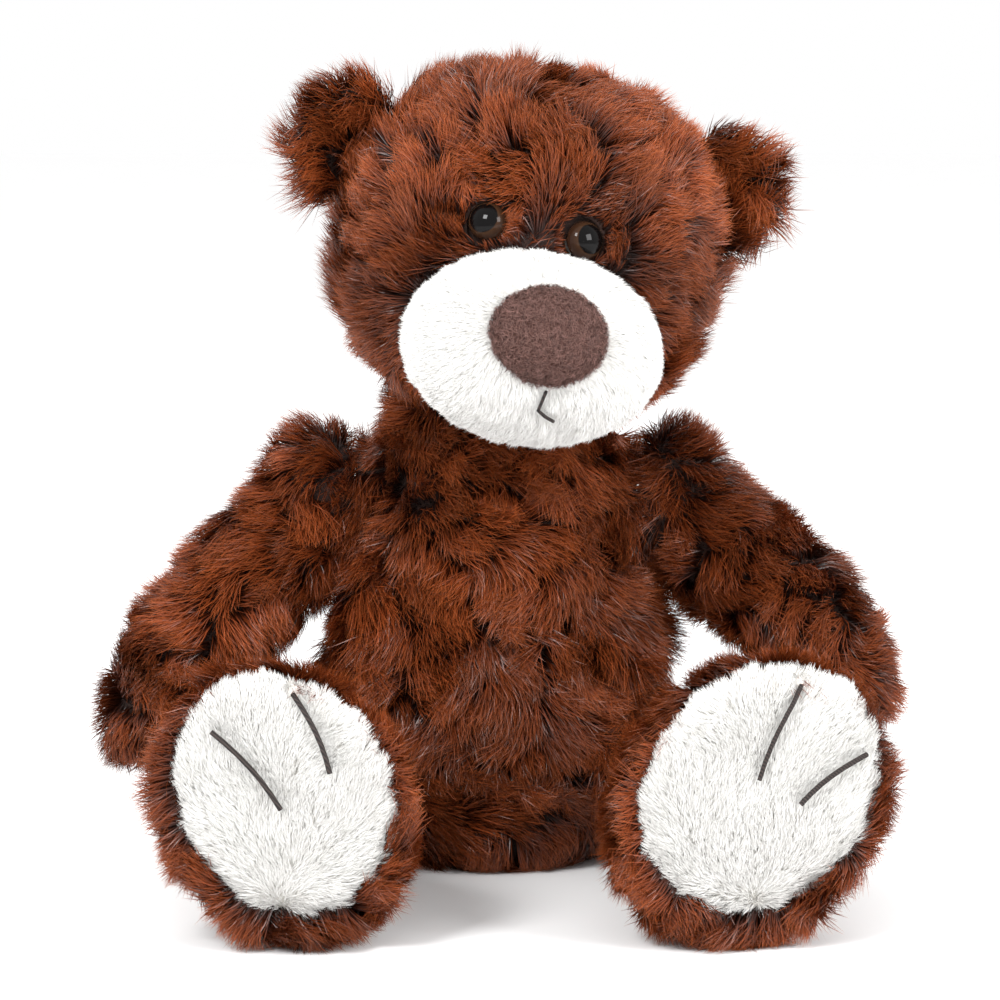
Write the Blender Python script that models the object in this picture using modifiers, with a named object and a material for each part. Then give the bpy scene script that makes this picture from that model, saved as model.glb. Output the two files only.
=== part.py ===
"""Jointed teddy bear, seated, with a disc joint at the neck, both shoulders and both hips.

The bear faces -Y, its left side is +X, and the middle of its flat seat is the origin.
Every soft piece is a closed solid whose outer face lies at about half the depth of the pile.
All lengths are in metres.
"""
import math
from collections import namedtuple

import bmesh
import bpy
from mathutils import Matrix, Vector

# gaps
FIT = 0.0003          # between two pieces that touch
FACE = 0.0003         # from a joint's middle plane to each of its two faces

# plush skins
SKIN = 0.006          # woven backing and the pressed half of the pile
FACE_SKIN = 0.003     # the same, flattened between two joint discs
MUZZLE_SKIN = 0.004
PACKING = 0.0012      # from a skin's inside to its stuffing

# joint hardware: 30 mm discs on the limbs and 36 mm at the neck, on M5 bolts
DISC_RADIUS = 0.015
NECK_DISC_RADIUS = 0.018
DISC_THICK = 0.0025
PAD_RADIUS = 0.0195
PAD_DEPTH = 0.018
WASHER_RADIUS = 0.0075
WASHER_THICK = 0.001
BOLT_RADIUS = 0.0025
HOLE_RADIUS = 0.0029
BOLT_LENGTH = 0.0200
BOLT_HEAD_FLATS = 0.008
BOLT_HEAD_THICK = 0.0035
NUT_THICK = 0.0045

# where the joints are
NECK = Vector((0.0031, -0.008, 0.1559))
NECK_TILT = 8.0
NECK_TURN = 4.0
SHOULDER = Vector((0.0468, 0.0, 0.118))
HIP = Vector((0.0503, -0.015, 0.035))

# face, in the head's own frame
MUZZLE_CENTRE = Vector((0.0012, -0.058, 0.0206))
MUZZLE_HALF = Vector((0.0400, 0.0360, 0.0288))
NOSE_CENTRE = Vector((0.0026, -0.0915, 0.0276))
NOSE_HALF = Vector((0.0185, 0.0090, 0.0155))
EYES = {"right": (-0.0172, 0.0572), "left": (0.0122, 0.0556)}
EYE_RADIUS = 0.006
EYE_DOME = 0.0045
EYE_SINK = 0.0027
EYE_STEM_RADIUS = 0.002
EYE_STEM = 0.012
EYE_WASHER_RADIUS = 0.007
EYE_WASHER_GAP = 0.0022
EAR_CENTRE = Vector((0.0622, 0.003, 0.0740))
EAR_HALF = Vector((0.0185, 0.0078, 0.0205))
EAR_CUP = 0.006

THREAD_RADIUS = 0.0006
TOE_THREAD_RADIUS = 0.0008
TOE_LIFT = 0.0010
SOLE_DEPTH = 0.007    # how far back from the front of the foot the sole's seam lies

# how far round its joint a limb stays outside the joint's plane
CLEAR_RADIUS = 0.072
# how far a limb's round joint pad stands out from the flat round it
PAD_RISE = 0.0014
POCKET_DEPTH = 0.0145

# inset of the form, depth of the joint face, inset of the pad
OUTER_DEPTH = (0.0, FACE, 0.0)
INNER_DEPTH = (SKIN, FACE + FACE_SKIN, 0.003)
FILL_DEPTH = (SKIN + PACKING, FACE + FACE_SKIN + PACKING, 0.003 + PACKING)

COLLECTION = "jointed_teddy_bear"

Station = namedtuple("Station", "x y z wide tall roll")
Form = namedtuple("Form", "stations side powers segments rings")

TRUNK = Form(
    (
        Station(0.0, 0.002, -0.008, 0.0500, 0.0440, 0.0),
        Station(0.0, 0.001, 0.035, 0.0505, 0.0455, 0.0),
        Station(0.0, 0.000, 0.075, 0.0512, 0.0455, 0.0),
        Station(0.0, -0.003, 0.110, 0.0455, 0.0400, 0.0),
        Station(0.001, -0.006, 0.145, 0.0420, 0.0350, 0.0),
        Station(0.004, -0.009, 0.175, 0.0350, 0.0325, 0.0),
    ),
    Vector((1.0, 0.0, 0.0)), (3.0, 3.0), 18, 13,
)
HEAD = Form(
    (
        Station(0.0, -0.002, -0.007, 0.0590, 0.0530, 0.0),
        Station(0.0, -0.002, 0.020, 0.0620, 0.0545, 0.0),
        Station(0.0, -0.002, 0.049, 0.0615, 0.0545, 0.0),
        Station(0.0, -0.001, 0.080, 0.0590, 0.0530, 0.0),
        Station(0.0, 0.000, 0.105, 0.0560, 0.0510, 0.0),
    ),
    Vector((1.0, 0.0, 0.0)), (2.45, 2.45), 18, 12,
)
# limbs are given outward from their joint, so both sides read alike
ARMS = {
    "right": Form(
        (
            Station(0.0090, 0.000, 0.026, 0.0200, 0.0190, 0.0),
            Station(0.0175, -0.002, -0.006, 0.0210, 0.0210, 0.0),
            Station(0.0405, -0.006, -0.031, 0.0215, 0.0205, 0.0),
            Station(0.0610, -0.010, -0.056, 0.0210, 0.0195, 0.0),
            Station(0.0740, -0.013, -0.082, 0.0205, 0.0180, 0.0),
        ),
        Vector((0.0, 1.0, 0.0)), (2.6, 2.6), 12, 11,
    ),
    "left": Form(
        (
            Station(0.0090, 0.000, 0.025, 0.0200, 0.0190, 0.0),
            Station(0.0180, -0.002, -0.004, 0.0210, 0.0210, 0.0),
            Station(0.0420, -0.006, -0.025, 0.0215, 0.0205, 0.0),
            Station(0.0635, -0.010, -0.047, 0.0210, 0.0195, 0.0),
            Station(0.0765, -0.013, -0.070, 0.0200, 0.0180, 0.0),
        ),
        Vector((0.0, 1.0, 0.0)), (2.6, 2.6), 12, 11,
    ),
}
LEGS = {
    "right": Form(
        (
            Station(0.0175, 0.023, -0.002, 0.0190, 0.0220, 0.0),
            Station(0.0180, 0.000, -0.002, 0.0210, 0.0235, 0.0),
            Station(0.0175, -0.045, -0.001, 0.0220, 0.0245, 10.0),
            Station(0.0155, -0.080, 0.001, 0.0260, 0.0300, 31.0),
            Station(0.0137, -0.103, 0.0065, 0.0345, 0.0415, 31.0),
            Station(0.0137, -0.121, 0.0069, 0.0375, 0.0445, 31.0),
            Station(0.0137, -0.133, 0.0069, 0.0370, 0.0440, 31.0),
        ),
        Vector((1.0, 0.0, 0.0)), (2.6, 8.0), 14, 16,
    ),
    "left": Form(
        (
            Station(0.0175, 0.023, -0.002, 0.0190, 0.0220, 0.0),
            Station(0.0180, 0.000, -0.002, 0.0210, 0.0235, 0.0),
            Station(0.0190, -0.045, -0.001, 0.0220, 0.0245, 12.0),
            Station(0.0215, -0.079, 0.001, 0.0270, 0.0305, 41.0),
            Station(0.0240, -0.101, 0.0068, 0.0365, 0.0435, 41.0),
            Station(0.0270, -0.118, 0.0074, 0.0400, 0.0465, 41.0),
            Station(0.0298, -0.130, 0.0074, 0.0395, 0.0460, 41.0),
        ),
        Vector((1.0, 0.0, 0.0)), (2.6, 8.0), 14, 16,
    ),
}
# each toe crease: its two ends on the sole, across and up from the sole's middle
TOE_LINES = {
    "right": (((0.0212, 0.0260), (0.0005, 0.0025)), ((-0.0030, 0.0368), (-0.0142, 0.0135))),
    "left": (((0.0125, 0.0380), (-0.0020, 0.0105)), ((0.0325, 0.0165), (0.0110, 0.0025))),
}
TOE_BOW = 0.0016

SIDES = {"left": 1.0, "right": -1.0}


# ---- scene helpers ----

def clear_scene():
    for item in list(bpy.data.objects):
        bpy.data.objects.remove(item, do_unlink=True)
    for group in list(bpy.data.collections):
        bpy.data.collections.remove(group)


def new_collection(name):
    group = bpy.data.collections.new(name)
    bpy.context.scene.collection.children.link(group)
    return group


def material(name, colour, roughness, metallic=0.0):
    made = bpy.data.materials.new(name)
    made.use_nodes = True
    shader = made.node_tree.nodes["Principled BSDF"]
    shader.inputs["Base Color"].default_value = (*colour, 1.0)
    shader.inputs["Roughness"].default_value = roughness
    shader.inputs["Metallic"].default_value = metallic
    made.diffuse_color = (*colour, 1.0)
    return made


def frame(name, location, rotation=None):
    """An empty on a joint's axis, the parent of all that turns on it."""
    empty = bpy.data.objects.new(name, None)
    empty.empty_display_size = 0.02
    empty.location = location
    if rotation is not None:
        empty.rotation_euler = rotation.to_euler()
    parts.objects.link(empty)
    return empty


def piece(name, mesh, parent, looks):
    made = bpy.data.objects.new(name, mesh)
    made.parent = parent
    mesh.materials.clear()
    mesh.materials.append(looks)
    parts.objects.link(made)
    return made


def cutter(name, mesh, parent):
    made = bpy.data.objects.new(name, mesh)
    made.parent = parent
    made.hide_render = True
    made.display_type = "WIRE"
    cutters.objects.link(made)
    return made


def boolean(target, other, operation):
    step = target.modifiers.new(operation.lower(), "BOOLEAN")
    step.operation = operation
    step.solver = "EXACT"
    step.object = other
    return step


# ---- shapes ----

def blend(rows, place):
    """A smooth curve through rows of numbers, at a place counted in rows."""
    last = len(rows) - 1
    start = min(int(place), last - 1)
    t = place - start
    p0, p1, p2, p3 = (rows[max(0, min(last, start + k))] for k in (-1, 0, 1, 2))
    return [
        0.5 * (2 * b + (c - a) * t + (2 * a - 5 * b + 4 * c - d) * t ** 2
               + (3 * b - a - 3 * c + d) * t ** 3)
        for a, b, c, d in zip(p0, p1, p2, p3)
    ]


def distances(form):
    """How far along its spine each of a form's stations lies."""
    points = [Vector(s[:3]) for s in form.stations]
    along = [0.0]
    for a, b in zip(points, points[1:]):
        along.append(along[-1] + (b - a).length)
    return along


def station_at(form, share):
    along = distances(form)
    goal = min(max(share, 0.0), 1.0) * along[-1]
    k = next((i for i in range(len(along) - 1) if goal <= along[i + 1]), len(along) - 2)
    place = k + (goal - along[k]) / (along[k + 1] - along[k])
    return Station(*blend([list(s) for s in form.stations], place))


def axes_at(form, share):
    """The spine's direction and the two directions across it."""
    step = 0.02
    low = station_at(form, min(max(share - step, 0.0), 1.0 - 2 * step))
    high = station_at(form, max(min(share + step, 1.0), 2 * step))
    ahead = (Vector(high[:3]) - Vector(low[:3])).normalized()
    side = (form.side - ahead * form.side.dot(ahead)).normalized()
    return ahead, side, side.cross(ahead)


def form_point(form, share, angle, inset=0.0):
    """A point on a soft form: share runs from end to end, angle runs round it."""
    length = distances(form)[-1]
    t = 2.0 * share - 1.0
    power = form.powers[0] if t < 0 else form.powers[1]
    cap = max(0.0, 1.0 - abs(t) ** power) ** (1.0 / power)
    inner = 0.5 + (share - 0.5) * (1.0 - 2.0 * inset / length)
    here = station_at(form, inner)
    _, side, up = axes_at(form, inner)
    roll = math.radians(here.roll)
    first = side * math.cos(roll) + up * math.sin(roll)
    second = up * math.cos(roll) - side * math.sin(roll)
    across = first * ((here.wide - inset) * cap * math.cos(angle))
    return Vector(here[:3]) + across + second * ((here.tall - inset) * cap * math.sin(angle))


def cut_flat(bm, at, outward):
    """Cuts off what lies beyond a plane and closes the cut."""
    geometry = bm.verts[:] + bm.edges[:] + bm.faces[:]
    bmesh.ops.bisect_plane(
        bm, geom=geometry, dist=1e-6, plane_co=at, plane_no=outward, clear_outer=True
    )
    open_edges = [e for e in bm.edges if e.is_boundary]
    bmesh.ops.holes_fill(bm, edges=open_edges, sides=0)


def finished(name, bm):
    bmesh.ops.recalc_face_normals(bm, faces=bm.faces)
    mesh = bpy.data.meshes.new(name)
    bm.to_mesh(mesh)
    bm.free()
    mesh.shade_smooth()
    mesh.set_sharp_from_angle(angle=math.radians(40))
    return mesh


def soft_mesh(name, form, inset=0.0, planes=(), mirror=1.0):
    """A stuffed form: a sphere drawn out along its spine, with flats cut on it."""
    bm = bmesh.new()
    bmesh.ops.create_uvsphere(bm, u_segments=form.segments, v_segments=form.rings, radius=1.0)
    for vert in bm.verts:
        angle = math.atan2(vert.co.y, vert.co.x)
        vert.co = form_point(form, (1.0 - vert.co.z) / 2.0, angle, inset)
    for at, outward in planes:
        cut_flat(bm, at, outward)
    if mirror < 0:
        bmesh.ops.scale(bm, vec=(-1.0, 1.0, 1.0), verts=bm.verts)
    return finished(name, bm)


def ball_mesh(name, centre, half, segments=16, rings=11, inset=0.0):
    bm = bmesh.new()
    bmesh.ops.create_uvsphere(bm, u_segments=segments, v_segments=rings, radius=1.0)
    bmesh.ops.scale(bm, vec=half - Vector((inset, inset, inset)), verts=bm.verts)
    bmesh.ops.translate(bm, vec=centre, verts=bm.verts)
    return finished(name, bm)


def turn_to(direction):
    """The rotation that takes +Z to a direction."""
    return direction.to_track_quat("Z", "Y").to_matrix().to_4x4()


def drum_mesh(name, start, end, radius, sides=20, spin=0.0):
    """A cylinder between two points."""
    bm = bmesh.new()
    axis = end - start
    bmesh.ops.create_cone(
        bm, cap_ends=True, segments=sides, radius1=radius, radius2=radius, depth=axis.length
    )
    spun = Matrix.Rotation(spin, 4, "Z")
    middle = Matrix.Translation((start + end) / 2.0)
    bmesh.ops.transform(bm, matrix=middle @ turn_to(axis) @ spun, verts=bm.verts)
    return finished(name, bm)


def block_mesh(name, at, outward, size):
    """A large block whose near face is a plane."""
    bm = bmesh.new()
    bmesh.ops.create_cube(bm, size=size)
    bmesh.ops.translate(bm, vec=(0.0, 0.0, size / 2.0), verts=bm.verts)
    bmesh.ops.transform(bm, matrix=Matrix.Translation(at) @ turn_to(outward), verts=bm.verts)
    return finished(name, bm)


def thread(name, points, radius, parent, looks):
    """A stitched thread: a tube along a run of points."""
    curve = bpy.data.curves.new(name, "CURVE")
    curve.dimensions = "3D"
    curve.bevel_depth = radius
    curve.bevel_resolution = 1
    curve.use_fill_caps = True
    spline = curve.splines.new("POLY")
    spline.points.add(len(points) - 1)
    for knot, point in zip(spline.points, points):
        knot.co = (*point, 1.0)
    made = bpy.data.objects.new(name, curve)
    made.parent = parent
    curve.materials.append(looks)
    parts.objects.link(made)
    return made


# ---- joints ----

def joint_hardware(name, limb, trunk_frame, at, outward, radius):
    """The discs, washers, bolt and lock nut of one joint.

    at is the joint's middle in the limb's frame and outward points from the trunk to the limb.
    The bolt, its washers, the nut and the limb's own disc turn with the limb.
    """
    def place(depth):
        return at + outward * depth

    seat = FACE + FACE_SKIN + FIT
    rear = seat + DISC_THICK
    washer = rear + FIT
    grip = washer + WASHER_THICK + FIT
    for label, sign, owner in (("limb", 1.0, limb), ("trunk", -1.0, trunk_frame)):
        spot = name + "_" + label
        disc = drum_mesh(spot + "_disc", place(sign * seat), place(sign * rear), radius, 16)
        shift = owner.matrix_basis.inverted() @ limb.matrix_basis
        disc.transform(shift)
        board = piece(spot + "_disc", disc, owner, hardboard)
        bore = drum_mesh(spot + "_disc_bore", place(-0.03), place(0.03), HOLE_RADIUS, 12)
        bore.transform(shift)
        boolean(board, cutter(spot + "_disc_bore", bore, owner), "DIFFERENCE")
        start = place(sign * washer)
        end = place(sign * (washer + WASHER_THICK))
        ring = piece(
            spot + "_washer", drum_mesh(spot + "_washer", start, end, WASHER_RADIUS, 12),
            limb, steel,
        )
        hole = drum_mesh(spot + "_washer_bore", place(-0.03), place(0.03), HOLE_RADIUS, 12)
        boolean(ring, cutter(spot + "_washer_bore", hole, limb), "DIFFERENCE")
    across = BOLT_HEAD_FLATS / 2.0 / math.cos(math.pi / 6.0)
    head = drum_mesh(name + "_bolt", place(grip), place(grip + BOLT_HEAD_THICK), across, 6)
    bolt = piece(name + "_bolt", head, limb, steel)
    shank = drum_mesh(
        name + "_shank", place(grip - BOLT_LENGTH), place(grip + FIT), BOLT_RADIUS, 12
    )
    boolean(bolt, cutter(name + "_shank", shank, limb), "UNION")
    near = place(-grip - NUT_THICK)
    nut = piece(name + "_nut", drum_mesh(name + "_nut", near, place(-grip), across, 6), limb, steel)
    thread_bore = drum_mesh(
        name + "_nut_bore", place(-0.03), place(0.03), BOLT_RADIUS + FIT, 12
    )
    boolean(nut, cutter(name + "_nut_bore", thread_bore, limb), "DIFFERENCE")


def pocket(target, name, parent, at, outward, depth, radius):
    """Room in a stuffing for a joint's disc, washer and bolt end."""
    start = at - outward * 0.002
    room = drum_mesh(name, start, at + outward * depth, radius + PACKING, 18)
    boolean(target, cutter(name, room, parent), "DIFFERENCE")


def apply_steps(target, steps):
    for other, operation in steps:
        boolean(target, other, operation)


def bolt_hole(target, name, parent, at, outward, depth):
    hole = drum_mesh(name, at - outward * depth, at + outward * depth, HOLE_RADIUS, 12)
    boolean(target, cutter(name, hole, parent), "DIFFERENCE")


def pad_mesh(name, at, outward, face, shrink):
    """The flat round pad that a joint's face is pressed to, at one depth of the skin."""
    end = at + outward * (PAD_DEPTH - shrink / 3.0)
    return drum_mesh(name, at + outward * face, end, PAD_RADIUS - shrink, 16)


# ---- limbs ----

def limb_layer(name, form, side, joint, depth):
    """A limb's shape at one depth: clear of the trunk round its joint, with a flat round pad."""
    inset, face, shrink = depth
    outward = Vector((side, 0.0, 0.0))
    zero = Vector((0.0, 0.0, 0.0))
    mesh = soft_mesh(name, form, inset, (), side)
    clear = drum_mesh(
        name + "_clear", outward * (face + PAD_RISE), outward * -0.05, CLEAR_RADIUS + shrink, 24
    )
    pad = pad_mesh(name + "_pad", zero, outward, face, shrink)
    return mesh, (
        (cutter(name + "_clear", clear, joint), "DIFFERENCE"),
        (cutter(name + "_pad", pad, joint), "UNION"),
    )


def build_limb(name, form, side, joint):
    """Skin and stuffing of an arm or a leg, returned with the inner shape that hollows it."""
    outward = Vector((side, 0.0, 0.0))
    zero = Vector((0.0, 0.0, 0.0))
    mesh, inner_steps = limb_layer(name + "_inner", form, side, joint, INNER_DEPTH)
    hollow = cutter(name + "_hollow", mesh, joint)
    apply_steps(hollow, inner_steps)
    mesh, steps = limb_layer(name + "_outer", form, side, joint, OUTER_DEPTH)
    skin = piece(name + "_skin", mesh, joint, plush)
    apply_steps(skin, steps)
    boolean(skin, hollow, "DIFFERENCE")
    bolt_hole(skin, name + "_bolt_hole", joint, zero, outward, PAD_DEPTH)
    mesh, steps = limb_layer(name + "_fill", form, side, joint, FILL_DEPTH)
    wad = piece(name + "_stuffing", mesh, joint, stuffing)
    apply_steps(wad, steps[:1])
    pocket(wad, name + "_pocket", joint, zero, outward, POCKET_DEPTH, DISC_RADIUS)
    return skin, hollow


def build_arm(label, side):
    joint = frame(f"shoulder_{label}_frame", mirrored(SHOULDER, side))
    build_limb("arm_" + label, ARMS[label], side, joint)
    return joint


def sole_point(form, side, across, up, lift):
    """A point over the sole, from its place across and up from the sole's middle."""
    end = form.stations[-1]
    ahead, right, _ = axes_at(form, 1.0)
    rise = ahead.cross(right)
    if rise.z < 0:
        rise = -rise
    flat = right * across + rise * up
    roll = math.radians(end.roll)
    first = right * math.cos(roll) - rise * math.sin(roll)
    second = rise * math.cos(roll) + right * math.sin(roll)
    reach = math.hypot(flat.dot(first) / end.wide, flat.dot(second) / end.tall)
    power = form.powers[1]
    t = max(0.0, 1.0 - min(reach, 0.995) ** power) ** (1.0 / power)
    back = (1.0 - t) / 2.0 * distances(form)[-1]
    spot = Vector(end[:3]) + flat + ahead * (lift - back)
    return Vector((spot.x * side, spot.y, spot.z))


def build_leg(label, side):
    joint = frame(f"hip_{label}_frame", mirrored(HIP, side))
    form = LEGS[label]
    name = "leg_" + label
    skin, hollow = build_limb(name, form, side, joint)
    ahead, _, _ = axes_at(form, 1.0)
    seam = Vector(form.stations[-1][:3]) - ahead * SOLE_DEPTH
    ahead = mirrored(ahead, side)
    seam = mirrored(seam, side)
    front = cutter(name + "_front", block_mesh(name + "_front", seam - ahead * FIT / 2.0,
                                               ahead, 0.12), joint)
    boolean(skin, front, "DIFFERENCE")
    sole = piece(name + "_sole", soft_mesh(name + "_sole", form, 0.0, (), side), joint, white)
    panel = cutter(name + "_panel", block_mesh(name + "_panel", seam + ahead * FIT / 2.0,
                                               ahead, 0.12), joint)
    boolean(sole, panel, "INTERSECT")
    boolean(sole, hollow, "DIFFERENCE")
    for number, (start, end) in enumerate(TOE_LINES[label], 1):
        run = []
        steps = 6
        for k in range(steps + 1):
            share = k / steps
            bow = TOE_BOW * 4.0 * share * (1.0 - share) / math.dist(start, end)
            across = start[0] + (end[0] - start[0]) * share + (end[1] - start[1]) * bow
            up = start[1] + (end[1] - start[1]) * share - (end[0] - start[0]) * bow
            run.append(sole_point(form, side, across, up, TOE_THREAD_RADIUS + TOE_LIFT))
        thread(f"{name}_toe_stitch_{number}", run, TOE_THREAD_RADIUS, joint, dark_thread)
    return joint


# ---- trunk ----

def mirrored(point, side):
    return Vector((point.x * side, point.y, point.z))


def trunk_joints():
    """The trunk's five joints: name, middle, direction out to the limb, disc radius."""
    tilt = Matrix.Rotation(math.radians(NECK_TILT), 4, "Y")
    found = [("neck", NECK, tilt @ Vector((0.0, 0.0, 1.0)), NECK_DISC_RADIUS)]
    for label, side in SIDES.items():
        outward = Vector((side, 0.0, 0.0))
        found.append(("shoulder_" + label, mirrored(SHOULDER, side), outward, DISC_RADIUS))
        found.append(("hip_" + label, mirrored(HIP, side), outward, DISC_RADIUS))
    return found


def trunk_planes(depth):
    """The flat seat and the flat under the head."""
    inset, face, _ = depth
    neck_up = trunk_joints()[0][2]
    return (
        (Vector((0.0, 0.0, inset)), Vector((0.0, 0.0, -1.0))),
        (NECK - neck_up * face, neck_up),
    )


def trunk_layer(name, depth):
    """The trunk's shape at one depth, with a flat pad at each joint."""
    inset, face, shrink = depth
    mesh = soft_mesh(name, TRUNK, inset, trunk_planes(depth))
    steps = []
    for label, at, outward, _ in trunk_joints()[1:]:
        pad = pad_mesh(f"{name}_{label}_pad", at, -outward, face, shrink)
        steps.append((cutter(f"{name}_{label}_pad", pad, None), "UNION"))
    return mesh, steps


def build_trunk():
    mesh, steps = trunk_layer("trunk_inner", INNER_DEPTH)
    hollow = cutter("trunk_hollow", mesh, None)
    apply_steps(hollow, steps)
    mesh, steps = trunk_layer("trunk_skin", OUTER_DEPTH)
    skin = piece("trunk_skin", mesh, None, plush)
    apply_steps(skin, steps)
    boolean(skin, hollow, "DIFFERENCE")
    mesh = soft_mesh("trunk_stuffing", TRUNK, FILL_DEPTH[0], trunk_planes(FILL_DEPTH))
    wad = piece("trunk_stuffing", mesh, None, stuffing)
    for name, at, outward, radius in trunk_joints():
        bolt_hole(skin, name + "_trunk_hole", None, at, outward, PAD_DEPTH)
        pocket(wad, name + "_trunk_pocket", None, at, -outward, POCKET_DEPTH, radius)
    run = []
    for k in range(11):
        share = 0.26 + 0.042 * k
        near = form_point(TRUNK, share, -math.pi / 2.0)
        near.y += THREAD_RADIUS + 0.0012
        run.append(near)
    thread("back_seam_thread", run, THREAD_RADIUS, None, dark_thread)


# ---- head ----

def head_surface(x, z):
    """The front of the head at a place across and up, and its outward direction."""
    top = HEAD.stations[-1].z
    bottom = HEAD.stations[0].z
    share = (z - bottom) / (top - bottom)
    t = 2.0 * share - 1.0
    here = station_at(HEAD, share)
    power = HEAD.powers[0]
    cap = (1.0 - abs(t) ** power) ** (1.0 / power)
    wide = here.wide * cap
    deep = here.tall * cap
    y = here.y - deep * math.sqrt(1.0 - (x / wide) ** 2)
    tall = (top - bottom) / 2.0
    out = Vector((x / wide ** 2, (y - here.y) / deep ** 2, t * tall / tall ** 2))
    return Vector((x, y, z)), out.normalized()


def muzzle_front(x, z, lift):
    across = (x - MUZZLE_CENTRE.x) / MUZZLE_HALF.x
    up = (z - MUZZLE_CENTRE.z) / MUZZLE_HALF.z
    depth = MUZZLE_HALF.y * math.sqrt(1.0 - across ** 2 - up ** 2)
    return Vector((x, MUZZLE_CENTRE.y - depth - lift, z))


def build_eye(label, side, head, head_skin, head_wad):
    at, out = head_surface(*EYES[label])
    base = at - out * EYE_SINK
    mesh = bpy.data.meshes.new("eye_" + label)
    bm = bmesh.new()
    profile = []
    turns = 5
    for k in range(turns + 1):
        angle = math.pi / 2.0 * (1.0 - k / turns)
        x = EYE_RADIUS * math.cos(angle)
        profile.append(bm.verts.new((x if k else 0.0, 0.0, EYE_DOME * math.sin(angle))))
    profile.append(bm.verts.new((EYE_STEM_RADIUS, 0.0, 0.0)))
    profile.append(bm.verts.new((EYE_STEM_RADIUS, 0.0, -EYE_STEM)))
    profile.append(bm.verts.new((0.0, 0.0, -EYE_STEM)))
    for a, b in zip(profile, profile[1:]):
        bm.edges.new((a, b))
    bm.to_mesh(mesh)
    bm.free()
    eye = piece("eye_" + label, mesh, head, black_plastic)
    eye.matrix_local = Matrix.Translation(base) @ turn_to(out)
    screw = eye.modifiers.new("turn", "SCREW")
    screw.steps = 14
    screw.render_steps = 14
    screw.use_merge_vertices = True
    screw.merge_threshold = 0.00001
    screw.use_smooth_shade = True
    well = drum_mesh(f"eye_{label}_well", base - out * FIT, at + out * 0.01,
                     EYE_RADIUS + FIT, 16)
    boolean(head_skin, cutter(f"eye_{label}_well", well, head), "DIFFERENCE")
    inside = base - out * 0.016
    hole = drum_mesh(f"eye_{label}_hole", inside, at, EYE_STEM_RADIUS + 0.0004, 12)
    boolean(head_skin, cutter(f"eye_{label}_hole", hole, head), "DIFFERENCE")
    front = at - out * (SKIN + EYE_WASHER_GAP)
    room = drum_mesh(f"eye_{label}_room", inside, at, EYE_WASHER_RADIUS + 0.0006, 14)
    boolean(head_wad, cutter(f"eye_{label}_room", room, head), "DIFFERENCE")
    ring = drum_mesh(f"eye_{label}_washer", front - out * 0.0015, front, EYE_WASHER_RADIUS, 14)
    washer = piece(f"eye_{label}_washer", ring, head, nylon)
    bore = drum_mesh(f"eye_{label}_washer_bore", inside, at, EYE_STEM_RADIUS + FIT, 12)
    boolean(washer, cutter(f"eye_{label}_washer_bore", bore, head), "DIFFERENCE")


def build_ear(label, side, head, head_shape):
    """A cupped disc of plush, its foot cut to the head."""
    bm = bmesh.new()
    bmesh.ops.create_uvsphere(bm, u_segments=14, v_segments=9, radius=1.0)
    bmesh.ops.rotate(bm, matrix=Matrix.Rotation(math.pi / 2.0, 3, "X"), verts=bm.verts)
    for vert in bm.verts:
        x, y, z = vert.co
        cup = EAR_CUP * (x * x + z * z - 0.35)
        vert.co = Vector((x * EAR_HALF.x, y * EAR_HALF.y - cup, z * EAR_HALF.z))
    lean = Matrix.Rotation(math.radians(-14.0 * side), 4, "Z")
    tip = Matrix.Translation(mirrored(EAR_CENTRE, side))
    bmesh.ops.transform(bm, matrix=tip @ lean, verts=bm.verts)
    ear = piece("ear_" + label, finished("ear_" + label, bm), head, plush)
    boolean(ear, head_shape, "DIFFERENCE")


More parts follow.
